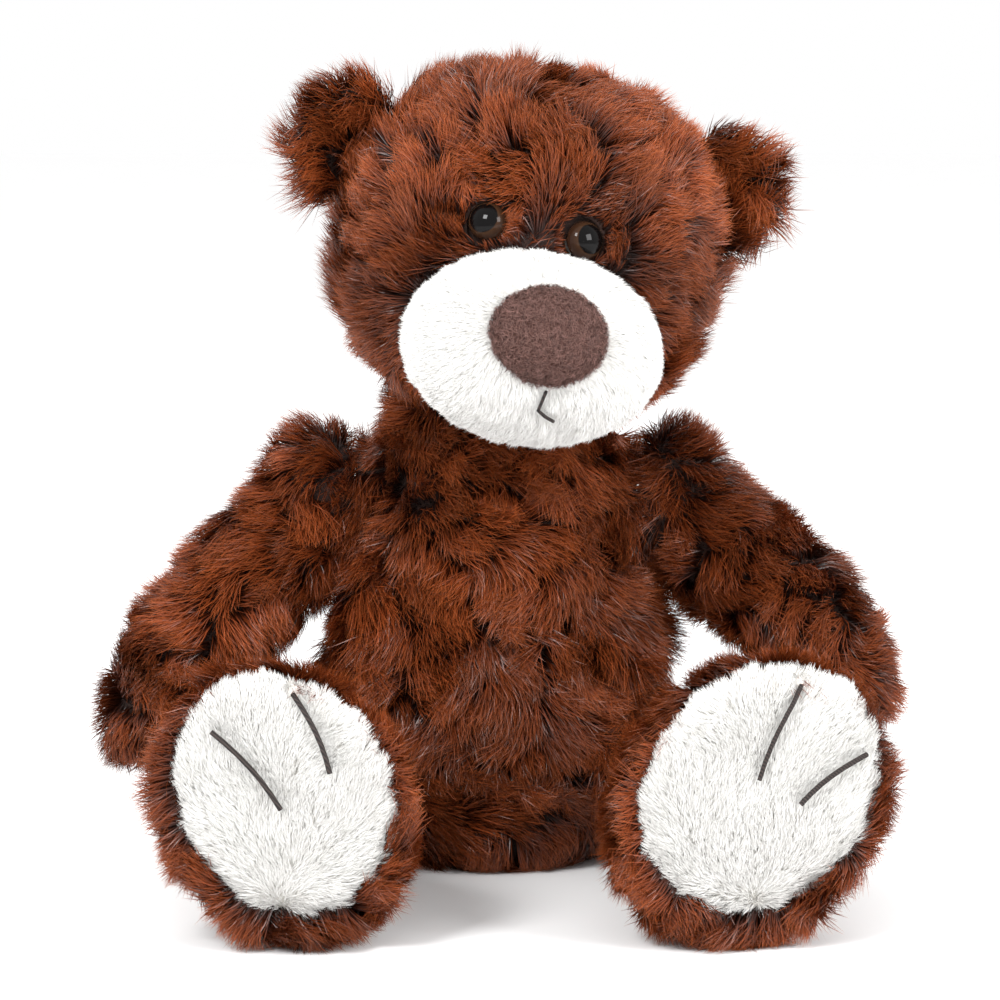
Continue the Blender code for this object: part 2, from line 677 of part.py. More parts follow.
def build_head():
    turned = Matrix.Rotation(math.radians(NECK_TILT), 4, "Y")
    turned = turned @ Matrix.Rotation(math.radians(NECK_TURN), 4, "Z")
    head = frame("neck_frame", NECK, turned)
    zero = Vector((0.0, 0.0, 0.0))
    up = Vector((0.0, 0.0, 1.0))
    down = -up

    def flat(face):
        return ((Vector((0.0, 0.0, face)), down),)

    grown = cutter("head_grown", soft_mesh("head_grown", HEAD, -FIT, flat(FACE - FIT)), head)
    inner = cutter("head_hollow", soft_mesh("head_hollow", HEAD, SKIN, flat(FACE + FACE_SKIN)),
                   head)
    muzzle_out = cutter("muzzle_out",
                        ball_mesh("muzzle_out", MUZZLE_CENTRE, MUZZLE_HALF, inset=-FIT), head)
    muzzle_in = cutter("muzzle_in", ball_mesh("muzzle_in", MUZZLE_CENTRE, MUZZLE_HALF,
                                              inset=MUZZLE_SKIN), head)
    skin = piece("head_skin", soft_mesh("head_skin", HEAD, 0.0, flat(FACE)), head, plush)
    boolean(skin, inner, "DIFFERENCE")
    boolean(skin, muzzle_out, "DIFFERENCE")
    bolt_hole(skin, "neck_head_hole", head, zero, up, PAD_DEPTH)

    wad_face = FACE + FACE_SKIN + PACKING
    wad = piece("head_stuffing",
                soft_mesh("head_stuffing", HEAD, SKIN + PACKING, flat(wad_face)),
                head, stuffing)
    fill = ball_mesh("muzzle_fill", MUZZLE_CENTRE, MUZZLE_HALF, inset=MUZZLE_SKIN + PACKING)
    boolean(wad, cutter("muzzle_fill", fill, head), "UNION")
    pocket(wad, "neck_head_pocket", head, zero, up, POCKET_DEPTH, NECK_DISC_RADIUS)

    muzzle = piece("muzzle", ball_mesh("muzzle", MUZZLE_CENTRE, MUZZLE_HALF), head, white)
    boolean(muzzle, muzzle_in, "DIFFERENCE")
    boolean(muzzle, inner, "DIFFERENCE")

    nose = piece("nose", ball_mesh("nose", NOSE_CENTRE, NOSE_HALF, 16, 8), head, felt)
    boolean(nose, muzzle_out, "DIFFERENCE")
    low = NOSE_CENTRE.z - NOSE_HALF.z
    corners = ((0.0042, low - 0.0012), (0.0036, low - 0.0045), (0.0030, low - 0.0078),
               (0.0055, low - 0.0096), (0.0086, low - 0.0110))
    run = [muzzle_front(x, z, THREAD_RADIUS + FIT) for x, z in corners]
    thread("mouth_stitch", run, THREAD_RADIUS, head, dark_thread)
    for label, side in SIDES.items():
        build_ear(label, side, head, grown)
        build_eye(label, side, head, skin, wad)
    return head


def build_joints(limbs):
    """The hardware of all five joints."""
    for name, at, outward, radius in trunk_joints():
        limb = limbs[name]
        inward = limb.matrix_basis.inverted()
        middle = inward @ at
        direction = (inward.to_3x3() @ outward).normalized()
        joint_hardware(name, limb, limbs["trunk"], middle, direction, radius)


clear_scene()
parts = new_collection(COLLECTION)
cutters = new_collection("cutters")
plush = material("brown_plush", (0.147, 0.027, 0.006), 0.9)
white = material("white_plush", (0.86, 0.84, 0.78), 0.95)
felt = material("nose_felt", (0.069, 0.030, 0.023), 0.95)
black_plastic = material("eye_plastic", (0.008, 0.006, 0.005), 0.08)
dark_thread = material("thread", (0.014, 0.010, 0.009), 0.8)
stuffing = material("stuffing", (0.80, 0.80, 0.78), 1.0)
hardboard = material("hardboard", (0.26, 0.13, 0.06), 0.8)
steel = material("steel", (0.55, 0.56, 0.58), 0.35, 1.0)
nylon = material("nylon", (0.75, 0.75, 0.72), 0.5)

trunk_frame = frame("trunk_frame", Vector((0.0, 0.0, 0.0)))
build_trunk()
joints = {"trunk": trunk_frame, "neck": build_head()}
for label, side in SIDES.items():
    joints["shoulder_" + label] = build_arm(label, side)
    joints["hip_" + label] = build_leg(label, side)
bpy.context.view_layer.update()
build_joints(joints)
bpy.context.view_layer.update()
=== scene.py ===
# %% [markdown]
# # A jointed teddy bear
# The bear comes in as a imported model: shells of pelt, stuffing, discs, bolts and stitches, each
# riding on the body that it turns with. That model keeps its shape and its size. What it lacks is
# the look of plush, so this file grows the pile, presses the toe lines into the white pads and
# gives each hidden part the finish of what it is made of.

# %% Load the frame
import math

import bpy
import numpy as np
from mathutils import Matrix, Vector
from mathutils.bvhtree import BVHTree


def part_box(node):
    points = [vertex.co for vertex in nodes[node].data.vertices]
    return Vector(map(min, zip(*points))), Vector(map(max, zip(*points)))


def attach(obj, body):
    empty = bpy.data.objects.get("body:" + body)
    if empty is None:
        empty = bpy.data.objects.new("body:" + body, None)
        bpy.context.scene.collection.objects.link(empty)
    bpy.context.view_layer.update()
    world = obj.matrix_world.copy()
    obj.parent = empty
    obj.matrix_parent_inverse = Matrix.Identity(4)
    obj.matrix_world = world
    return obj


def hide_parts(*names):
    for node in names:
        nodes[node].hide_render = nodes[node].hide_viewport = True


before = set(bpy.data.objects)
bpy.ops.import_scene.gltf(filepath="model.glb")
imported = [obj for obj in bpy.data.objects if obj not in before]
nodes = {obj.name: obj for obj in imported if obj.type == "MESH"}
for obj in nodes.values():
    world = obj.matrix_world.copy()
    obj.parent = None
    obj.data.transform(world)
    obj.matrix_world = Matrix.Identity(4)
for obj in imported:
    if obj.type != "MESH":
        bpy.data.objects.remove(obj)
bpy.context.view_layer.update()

# %% [markdown]
# ## Camera, floor and light
# A toy is shown on a white sweep: the floor and the backdrop run into one pale field. The camera
# stands well back with a long lens, a little above the bear. One large softbox from the upper left
# gives the pile its glints, a weaker one on the right opens the shadows, and the pale world does
# the rest.

# %% Camera
MM = 0.001
CAMERA_DISTANCE = 1.35
CAMERA_RISE = math.radians(7)
CAMERA_LENS = 149.5
SENSOR_WIDTH = 36
TARGET = Vector((0.001, -0.030, 0.123))

bpy.ops.object.camera_add(
    location=TARGET + Vector((0, -math.cos(CAMERA_RISE), math.sin(CAMERA_RISE))) * CAMERA_DISTANCE,
    rotation=(math.pi / 2 - CAMERA_RISE, 0, 0),
)
camera = bpy.context.object
camera.data.lens = CAMERA_LENS
camera.data.sensor_width = SENSOR_WIDTH
camera.data.clip_start = 0.01
bpy.context.scene.camera = camera
print("camera at", [round(c, 3) for c in camera.location])

# %% Floor, world and lamps
FLOOR_SIZE = 12

bpy.ops.object.select_all(action="DESELECT")
bpy.ops.mesh.primitive_plane_add(size=FLOOR_SIZE, location=(0, 0, 0))
floor = bpy.context.object
floor.name = "floor"


def softbox(name, place, size, power):
    """A square area lamp at place, aimed at the bear."""
    bpy.ops.object.light_add(type="AREA", location=place)
    lamp = bpy.context.object
    lamp.name = name
    lamp.data.size = size
    lamp.data.energy = power
    lamp.rotation_euler = (TARGET - Vector(place)).to_track_quat("-Z", "Y").to_euler()


softbox("key", (-0.75, -1.15, 1.25), 0.50, 22)
softbox("fill", (1.20, -1.00, 0.80), 0.70, 17)
softbox("back", (0.30, 1.10, 1.30), 0.90, 6)

world = bpy.data.worlds.new("pale room")
world.use_nodes = True
world.node_tree.nodes["Background"].inputs["Color"].default_value = (1, 1, 1, 1)
world.node_tree.nodes["Background"].inputs["Strength"].default_value = 1.0
bpy.context.scene.world = world
bpy.context.scene.view_settings.view_transform = "Standard"

# %% [markdown]
# ## How a finish is written
# A material is a small program. The class Wire stands for one output of a node, so sums are
# written as sums, and the class Finish adds any other node by its type.

# %% Wire and Finish


class Wire:
    """One node output, with the arithmetic that shader maths needs."""

    def __init__(self, finish, socket):
        self.finish = finish
        self.socket = socket

    def out(self, name):
        """Another output of the same node."""
        return Wire(self.finish, self.socket.node.outputs[name])

    def math(self, operation, *values):
        inputs = dict(enumerate(values))
        return self.finish.node("ShaderNodeMath", {"operation": operation}, inputs)

    def __add__(self, other):
        return self.math("ADD", self, other)

    def __mul__(self, other):
        return self.math("MULTIPLY", self, other)

    def between(self, low, high):
        """0 below low, 1 above high, and a straight line between them."""
        inputs = {"Value": self, "From Min": low, "From Max": high}
        return self.finish.node("ShaderNodeMapRange", {}, inputs)


class Finish:
    """A material with one Principled shader, and a method that adds nodes to it."""

    def __init__(self, name, **sockets):
        self.material = bpy.data.materials.new(name)
        self.material.use_nodes = True
        self.tree = self.material.node_tree
        self.shader = self.tree.nodes["Principled BSDF"]
        for socket, value in sockets.items():
            self.put(self.shader.inputs[socket.replace("_", " ")], value)

    def put(self, socket, value):
        if isinstance(value, Wire):
            self.tree.links.new(value.socket, socket)
        else:
            socket.default_value = value

    def node(self, kind, settings=None, inputs=None, output=0):
        made = self.tree.nodes.new(kind)
        for name, value in (settings or {}).items():
            if name == "stops":
                ramp = made.color_ramp
                while len(ramp.elements) < len(value):
                    ramp.elements.new(0.5)
                for stop, (position, colour) in zip(ramp.elements, value):
                    stop.position = position
                    stop.color = (*colour, 1)
            else:
                setattr(made, name, value)
        for name, value in (inputs or {}).items():
            self.put(made.inputs[name], value)
        return Wire(self, made.outputs[output])

    def place(self):
        """The point on the bear, in metres."""
        return self.node("ShaderNodeTexCoord", output="Object")

    def noise(self, size, detail=3.0, roughness=0.55, stretch=None):
        """Cloudy values from 0 to 1 with lumps of about that size in metres."""
        where = self.place()
        if stretch:
            where = self.node("ShaderNodeMapping", {}, {"Vector": where, "Scale": stretch})
        inputs = {"Vector": where, "Scale": 1 / size, "Detail": detail, "Roughness": roughness}
        return self.node("ShaderNodeTexNoise", {}, inputs)

    def ramp(self, value, stops):
        return self.node("ShaderNodeValToRGB", {"stops": stops}, {"Fac": value})

    def scaled(self, colour, factor):
        """A colour made lighter or darker by a value."""
        return self.node("ShaderNodeVectorMath", {"operation": "SCALE"}, {0: colour, "Scale": factor})

    def bump(self, height, distance, strength=1.0):
        inputs = {"Height": height, "Distance": distance, "Strength": strength}
        return self.node("ShaderNodeBump", {}, inputs)

    def use(self, **sockets):
        for socket, value in sockets.items():
            self.put(self.shader.inputs[socket.replace("_", " ")], value)
        return self.material


# %% [markdown]
# ## Plush
# Each fibre of the pile carries a map of its own: up the map is from root to tip, across it is how
# light or dark that fibre is. So one short ramp gives near-black roots, which are painted shade for
# the recesses, the chestnut of the middle and the copper of the tips, partly the fibres' own colour
# and partly a painted highlight; and the fibres differ from each other as dyed ones do.

# %% Plush finishes
PILE_MAP = "OFBake"


def pile_finish(name, stops, dark, light, **sockets):
    finish = Finish(name, **sockets)
    where = finish.node("ShaderNodeUVMap", {"uv_map": PILE_MAP})
    split = finish.node("ShaderNodeSeparateXYZ", {}, {0: where})
    along = split.out("Y")
    shade = split * (light - dark) + dark
    return finish.use(Base_Color=finish.scaled(finish.ramp(along, stops), shade))


brown_pile = pile_finish(
    "brown plush pile",
    # The stops darken from tip to root: painted shade for the depth of the pile and the hollows
    # between tufts. The copper tips are partly the fibres' own colour and partly a painted highlight.
    [
        (0.0, (0.006, 0.0014, 0.0007)),
        (0.35, (0.043, 0.0082, 0.0023)),
        (0.75, (0.180, 0.036, 0.0086)),
        (1.0, (0.36, 0.092, 0.026)),
    ],
    0.4,
    1.75,
    Roughness=0.30,
    Specular_IOR_Level=0.28,
)
white_pile = pile_finish(
    "white plush pile",
    # Greyer towards the roots: painted shade at the base of the pile.
    [
        (0.0, (0.82, 0.805, 0.77)),
        (0.5, (0.865, 0.855, 0.83)),
        (1.0, (0.905, 0.897, 0.877)),
    ],
    0.95,
    1.02,
    Roughness=0.6,
    Specular_IOR_Level=0.3,
)
felt_pile = pile_finish(
    "nose felt fibres",
    [
        (0.0, (0.034, 0.014, 0.011)),
        (0.6, (0.085, 0.040, 0.032)),
        (1.0, (0.17, 0.095, 0.083)),
    ],
    0.25,
    2.6,
    Roughness=0.8,
)

# The backing's near-black brown is partly the fabric's own colour and partly painted shade for the
# hollows between the tufts.
backing = Finish("brown plush backing", Roughness=0.95)
weave = backing.noise(0.0009, 2)
backing.use(
    Base_Color=backing.ramp(weave, [(0.3, (0.010, 0.003, 0.0015)), (0.7, (0.030, 0.009, 0.004))]),
    Normal=backing.bump(weave, 0.0003),
)
white_backing = Finish("white plush backing", Roughness=0.9)
weave = white_backing.noise(0.0009, 2)
white_backing.use(
    Base_Color=white_backing.ramp(weave, [(0.3, (0.86, 0.84, 0.79)), (0.7, (0.91, 0.89, 0.85))]),
    Normal=white_backing.bump(weave, 0.0003),
)
print("finishes for the plush: 5")

# %% [markdown]
# ## Felt, plastic, thread and the parts inside
# The nose is pressed wool felt: short fibres in all directions, some paler than the rest. The eyes
# are moulded plastic with a black pupil under a clear dome and a brown ring round it. Inside the
# bear are white polyester fibre, brown fibreboard discs, steel bolts and washers, and nylon lock
# washers behind the eyes. They are seldom seen, but a bear that is taken apart should show them.

# %% Felt, plastic and thread
felt = Finish("nose felt", Roughness=0.95, Specular_IOR_Level=0.2)
fibres = felt.noise(0.0022, 6, 0.75, (1.0, 1.0, 2.2))
specks = felt.noise(0.0007, 2, 0.5)
felt_look = felt.ramp(
    fibres * 0.6 + specks * 0.4,
    [(0.36, (0.034, 0.014, 0.010)), (0.50, (0.078, 0.036, 0.028)), (0.66, (0.20, 0.115, 0.10))],
)
felt.use(Base_Color=felt_look, Normal=felt.bump(fibres + specks, 0.0005))

eye_plastic = Finish("eye plastic", Roughness=0.3, Specular_IOR_Level=0.0)
eye_plastic.use(Coat_Weight=1.0, Coat_Roughness=0.02, Coat_IOR=1.25)
ring = eye_plastic.node("ShaderNodeAttribute", {"attribute_name": "ring"}, output="Fac")
grain = eye_plastic.noise(0.0012, 3)
eye_look = eye_plastic.ramp(
    ring + grain * 0.03,
    [(0.76, (0.0025, 0.002, 0.002)), (0.80, (0.042, 0.019, 0.009)), (0.97, (0.030, 0.013, 0.007))],
)
eye_plastic.use(Base_Color=eye_look)

thread = Finish("dark thread", Roughness=0.75)
twist = thread.node(
    "ShaderNodeTexWave",
    {"wave_type": "BANDS", "bands_direction": "DIAGONAL"},
    {"Vector": thread.place(), "Scale": 420.0, "Distortion": 1.5, "Detail": 2.0},
)
thread.use(
    Base_Color=thread.ramp(twist, [(0.0, (0.006, 0.004, 0.004)), (1.0, (0.045, 0.030, 0.026))]),
    Normal=thread.bump(twist, 0.0002),
)

# %% The parts inside
stuffing = Finish("polyester stuffing", Roughness=0.9, Sheen_Weight=0.3)
wisps = stuffing.noise(0.006, 6, 0.7, (1.0, 2.5, 1.0))
stuffing.use(
    Base_Color=stuffing.ramp(wisps, [(0.3, (0.62, 0.62, 0.62)), (0.7, (0.86, 0.86, 0.85))]),
    Normal=stuffing.bump(wisps, 0.002),
)

hardboard = Finish("fibreboard", Roughness=0.7)
chips = hardboard.noise(0.0015, 5, 0.7)
hardboard.use(
    Base_Color=hardboard.ramp(chips, [(0.3, (0.085, 0.045, 0.022)), (0.7, (0.19, 0.11, 0.06))]),
    Normal=hardboard.bump(chips, 0.0001),
)

steel = Finish("zinc plated steel", Metallic=1.0)
scratches = steel.noise(0.0012, 4, 0.6, (1.0, 1.0, 6.0))
steel.use(
    Base_Color=steel.ramp(scratches, [(0.3, (0.52, 0.53, 0.55)), (0.7, (0.66, 0.67, 0.69))]),
    Roughness=scratches.between(0.2, 0.8) * 0.25 + 0.22,
)

nylon = Finish("nylon", Roughness=0.45)
cloud = nylon.noise(0.003, 3)
nylon.use(
    Base_Color=nylon.ramp(cloud, [(0.3, (0.70, 0.70, 0.67)), (0.7, (0.80, 0.80, 0.78))]),
    Normal=nylon.bump(cloud, 0.0001),
)

sweep = Finish("white sweep", Roughness=0.85, Specular_IOR_Level=0.1)
paper = sweep.noise(0.05, 3)
pale = sweep.ramp(paper, [(0.3, (0.985, 0.985, 0.985)), (0.7, (0.995, 0.995, 0.995))])
floor.data.materials.append(sweep.use(Base_Color=pale))

SLOT_FINISH = {
    "brown_plush": backing,
    "white_plush": white_backing,
    "nose_felt": felt,
    "eye_plastic": eye_plastic,
    "thread": thread,
    "stuffing": stuffing,
    "hardboard": hardboard,
    "steel": steel,
    "nylon": nylon,
}
slot_of = {}
for name, node in nodes.items():
    slot_of[name] = node.material_slots[0].material.name.split(".")[0]
    for held in node.material_slots:
        held.material = SLOT_FINISH[slot_of[name]].material
print("finishes on the frame:", len(set(slot_of.values())))

# %% [markdown]
# ## Tools for soft pieces
# A pelt is made from the shell in the frame: the loose triangles are joined, and the outer side is
# moved in by a few millimetres, which is the room that the pile takes. Then fibres are sown on it.

# %% Mesh tools
MERGE = 0.00001


def only(piece):
    """Selects this piece and nothing else."""
    bpy.ops.object.select_all(action="DESELECT")
    piece.select_set(True)
    bpy.context.view_layer.objects.active = piece


def merged_copy(node, name):
    """A copy of a frame node with its loose triangles joined."""
    piece = bpy.data.objects.new(name, nodes[node].data.copy())
    bpy.context.scene.collection.objects.link(piece)
    piece.data.materials.clear()
    only(piece)
    bpy.ops.mesh.customdata_custom_splitnormals_clear()
    bpy.ops.object.mode_set(mode="EDIT")
    bpy.ops.mesh.select_all(action="SELECT")
    bpy.ops.mesh.remove_doubles(threshold=MERGE)
    bpy.ops.object.mode_set(mode="OBJECT")
    bpy.ops.object.shade_smooth()
    return piece


def rounded_copy(node, name, voxel, passes):
    """A merged copy cut into small even faces and smoothed, so that it can be shaped."""
    piece = merged_copy(node, name)
    remesh = piece.modifiers.new("even faces", "REMESH")
    remesh.mode = "VOXEL"
    remesh.voxel_size = voxel
    remesh.use_smooth_shade = True
    bpy.ops.object.modifier_apply(modifier=remesh.name)
    smooth = piece.modifiers.new("smooth", "SMOOTH")
    smooth.factor = 0.5
    smooth.iterations = passes
    bpy.ops.object.modifier_apply(modifier=smooth.name)
    return piece


def arrays(piece):
    """Points, normals and triangles of a mesh, as arrays."""
    mesh = piece.data
    mesh.calc_loop_triangles()
    points = np.empty(len(mesh.vertices) * 3)
    mesh.vertices.foreach_get("co", points)
    normals = np.empty(len(mesh.vertices) * 3, np.float32)
    mesh.vertex_normals.foreach_get("vector", normals)
    triangles = np.empty(len(mesh.loop_triangles) * 3, np.int32)
    mesh.loop_triangles.foreach_get("vertices", triangles)
    return points.reshape(-1, 3), normals.reshape(-1, 3).astype(float), triangles.reshape(-1, 3)


def surface_of(*names):
    """One search tree over the surfaces of several frame nodes."""
    points, triangles = [], []
    for name in names:
        found, _, corners = arrays(nodes[name])
        triangles.extend((corners + len(points)).tolist())
        points.extend(found.tolist())
    return BVHTree.FromPolygons(points, triangles)


def gap_to(tree, points):
    """How far each point is from the surface, below 0 inside it."""
    gaps = np.empty(len(points))
    for i, point in enumerate(points.tolist()):
        near, normal, _, distance = tree.find_nearest(point)
        gaps[i] = distance if (Vector(point) - near).dot(normal) > -0.5 * distance else -distance
    return gaps


def move_points(piece, points):
    piece.data.vertices.foreach_set("co", points.ravel())
    piece.data.update()


def unit(vectors):
    return vectors / np.maximum(np.linalg.norm(vectors, axis=-1, keepdims=True), 1e-9)


# %% Pelts
OUTER_SIDE = 0.0035
PACKED = 0.0022


def pelt(piece, filling, sink):
    """Moves the outer side of a shell in by sink.

    Returns which points are outer, and how far they moved.
    """
    points, normals, _ = arrays(piece)
    if filling is None:
        outer = np.ones(len(points), bool)
        moved = np.full(len(points), sink)
    else:
        gaps = gap_to(filling, points)
        outer = gaps > OUTER_SIDE
        moved = np.where(outer, np.clip(gaps - PACKED, 0, sink), 0)
    points -= normals * moved[:, None]
    move_points(piece, points)
    return outer, moved


def sow(piece, outer, moved, per_mm2, rng):
    """Roots spread evenly over the outer side: places, normals, and depths under the frame."""
    points, normals, triangles = arrays(piece)
    triangles = triangles[outer[triangles].all(1)]
    a, b, c = (points[triangles[:, k]] for k in range(3))
    areas = np.linalg.norm(np.cross(b - a, c - a), axis=1) / 2
    count = int(areas.sum() / MM**2 * per_mm2)
    ends = np.cumsum(areas) / areas.sum()
    which = np.searchsorted(ends, (np.arange(count) + rng.random(count)) / count)
    corners = triangles[np.minimum(which, len(triangles) - 1)]
    across, along = np.sqrt(rng.random(count)), rng.random(count)
    shares = np.stack([1 - across, across * (1 - along), across * along], 1)
    roots = np.einsum("ni,nij->nj", shares, points[corners])
    upward = unit(np.einsum("ni,nij->nj", shares, normals[corners]))
    depth = np.einsum("ni,ni->n", shares, moved[corners])
    return roots, upward, depth


def sow_all_over(piece, per_mm2, rng):
    """Roots over the whole of a piece that wasn't moved in: places and normals."""
    count = len(piece.data.vertices)
    roots, upward, _ = sow(piece, np.ones(count, bool), np.zeros(count), per_mm2, rng)
    return roots, upward


def upper_and_lower(p):
    """Two halves with the same number of roots."""
    upper = p[:, 2] > np.median(p[:, 2])
    return {"_upper": upper, "_lower": ~upper}


def front_and_back(x, y):
    """A split into front left, front right and back at the place x, y."""

    def split(p):
        front = p[:, 1] < y
        left = p[:, 0] > x
        return {"_front_left": front & left, "_front_right": front & ~left, "_back": ~front}

    return split


# %% [markdown]
# ## The pile
# A fibre is a thin ribbon that tapers to nothing: it costs three triangles, and a whole pelt has
# tens of thousands of them. Blender's own hair would be quicker to set up, but it is left out of an
# exported model, so the ribbons are laid out as arrays. Plush isn't combed like a real coat. It
# stands in tufts about a centimetre across, each leaning its own way, with tips drawn together and
# dark hollows between, so every fibre belongs to the nearest tuft and borrows its lean.

# %% Fibres
STATIONS = np.array([0.0, 0.55, 1.0])
TAPER = np.array([1.0, 0.85])
FLOOR_GAP = 0.0003
MAP_WIDTH = 0.002


def ribbons(name, curve, side, width, shade, stations, taper):
    """A mesh of ribbons. curve and side are (fibres, stations, 3), and the last station is the tip."""
    count, steps, _ = curve.shape
    half = (side[:, :-1] * (width[:, None] * taper)[:, :, None]) / 2
    pairs = np.stack([curve[:, :-1] - half, curve[:, :-1] + half], 2).reshape(count, -1, 3)
    points = np.concatenate([pairs, curve[:, -1:]], 1)
    points[:, :, 2] = np.maximum(points[:, :, 2], FLOOR_GAP)
    each = points.shape[1]
    quads = [[2 * k, 2 * k + 1, 2 * k + 3, 2 * k + 2] for k in range(steps - 2)]
    corners = np.array(sum(quads, []) + [each - 3, each - 2, each - 1])
    sizes = np.array([4] * (steps - 2) + [3])
    loops = (corners[None] + (np.arange(count) * each)[:, None]).ravel()
    starts = (np.cumsum(sizes) - sizes)[None] + (np.arange(count) * len(corners))[:, None]
    mesh = bpy.data.meshes.new(name)
    mesh.vertices.add(count * each)
    mesh.vertices.foreach_set("co", points.astype(np.float32).ravel())
    mesh.loops.add(len(loops))
    mesh.loops.foreach_set("vertex_index", loops.astype(np.int32))
    mesh.polygons.add(count * len(sizes))
    mesh.polygons.foreach_set("loop_start", starts.ravel().astype(np.int32))
    mesh.polygons.foreach_set("use_smooth", np.ones(count * len(sizes), bool))
    across = np.append(np.tile([-MAP_WIDTH, MAP_WIDTH], steps - 1), 0)
    up = np.append(np.repeat(stations[:-1], 2), 1.0)
    layer = mesh.uv_layers.new(name=PILE_MAP)
    u = shade[:, None] + across[corners][None]
    v = np.broadcast_to(up[corners][None], u.shape)
    layer.data.foreach_set("uv", np.stack([u, v], 2).astype(np.float32).ravel())
    mesh.update(calc_edges=True)
    mesh.validate()
    piece = bpy.data.objects.new(name, mesh)
    bpy.context.scene.collection.objects.link(piece)
    return piece


def drift(points, size, rng):
    """A smooth random value, about -1 to 1, that changes over about that size."""
    total = np.zeros(len(points))
    for _ in range(5):
        total += np.sin(points @ (rng.normal(size=3) * 2.5 / size) + rng.uniform(0, 2 * math.pi))
    return total / 2.2


def nearest_of(points, heads):
    """The index of the nearest head for each point."""
    found = np.empty(len(points), int)
    reach = (heads**2).sum(1)
    for start in range(0, len(points), 8192):
        part = points[start : start + 8192]
        found[start : start + 8192] = (reach - 2 * part @ heads.T).argmin(1)
    return found


def lay(roots, upward, flow, length, look, rng):
    """The curves of the fibres: points and sides at each station, and how light each fibre is."""
    count = len(roots)
    heads = rng.choice(count, max(1, int(count / look["per_tuft"])), replace=False)
    tuft = nearest_of(roots, roots[heads])
    kinds = len(heads)
    turn = rng.normal(0, look["swirl"], kinds)[tuft] + look["wander"] * drift(roots, 0.028, rng)
    turn += rng.normal(0, look["stray"], count)
    along = unit(flow - upward * (flow * upward).sum(1, keepdims=True))
    cross = np.cross(upward, along)
    along = along * np.cos(turn)[:, None] + cross * np.sin(turn)[:, None]
    cross = np.cross(upward, along)
    low, high = look["rise"]
    rise = np.clip(rng.uniform(low, high, kinds)[tuft] + rng.normal(0, 0.08, count), 0.12, 0.98)
    reach = length * rng.uniform(0.8, 1.15, kinds)[tuft] * rng.uniform(0.75, 1.15, count)
    lean = np.sqrt(1 - rise**2)
    tip = upward * rise[:, None] + along * lean[:, None]
    tips = roots + tip * reach[:, None]
    centre = tips[heads][tuft]
    pull = look["clump"] * rng.uniform(0.4, 1.0, count)
    tips += (centre - tips) * pull[:, None]
    tips += cross * (rng.normal(0, look["curl"], count) * reach)[:, None]
    start = np.minimum(rise + 0.35, 1)
    bend = roots + (upward * start[:, None] + along * (lean * 0.45)[:, None]) * (reach * 0.5)[:, None]
    bend += (centre - tips) * (pull * 0.3)[:, None]
    t = look["stations"][None, :, None]
    curve = (1 - t) ** 2 * roots[:, None] + 2 * t * (1 - t) * bend[:, None] + t**2 * tips[:, None]
    ahead = unit(np.gradient(curve, axis=1))
    face = unit(np.cross(ahead, upward[:, None]))
    twist = rng.normal(0, 0.55, count)[:, None, None]
    side = unit(face * np.cos(twist) + np.cross(face, ahead) * np.sin(twist))
    shade = 0.5 + 0.16 * drift(roots, 0.045, rng) + 0.12 * rng.normal(size=kinds)[tuft]
    shade = np.clip(shade + 0.11 * rng.normal(size=count), 0.01, 0.99)
    return curve, side, shade


def grow(name, body, finish, roots, upward, flow, length, look, rng, parts=None):
    """Grows a pile, and makes one piece of it, or one for each part: {ending: a test on the roots}."""
    curve, side, shade = lay(roots, upward, flow, length, look, rng)
    width = look["width"] * rng.uniform(0.7, 1.25, len(roots))
    parts = parts or {"": np.ones(len(roots), bool)}
    for ending, chosen in parts.items():
        picked = (curve[chosen], side[chosen], width[chosen], shade[chosen])
        piece = ribbons(name + ending, *picked, look["stations"], look["taper"])
        piece.data.materials.append(finish)
        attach(piece, body)
    print(name, len(roots), "fibres in", len(parts), "pieces")


# %% [markdown]
# ## The brown coat
# Each body gets its own pelt and pile. The lean follows the way a bear is brushed: down the chest,
# along the arms to the paws, forward over the feet so that a fringe frames the white soles, and
# away from the muzzle over the head. Fibres that would grow into a neighbouring limb are left out
# or cut short, as they are pressed flat there on a real bear.

# %% Lengths and looks of the pile
THIN = 1.0
COAT = {
    "width": 0.00034,
    "swirl": 0.65,
    "wander": 1.1,
    "stray": 0.28,
    "rise": (0.42, 0.85),
    "clump": 0.30,
    "curl": 0.13,
    "per_tuft": 170 * THIN,
    "stations": STATIONS,
    "taper": TAPER,
}
SINK = 0.0032
COAT_DENSITY = 2.3 * THIN
CROWDED = 0.0007
AHEAD = 0.005
SHORTEST = 0.55
COVER_GAP = 0.0004
SKINS = {
    "trunk": ["trunk_skin"],
    "head": ["head_skin", "muzzle", "ear_left", "ear_right"],
    "arm_left": ["arm_left_skin"],
    "arm_right": ["arm_right_skin"],
    "leg_left": ["leg_left_skin", "leg_left_sole"],
    "leg_right": ["leg_right_skin", "leg_right_sole"],
}


def middle(node):
    low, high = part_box(node)
    return (low + high) / 2


def neighbours(body):
    """The surfaces of all the other bodies."""
    return surface_of(*[n for other, found in SKINS.items() if other != body for n in found])


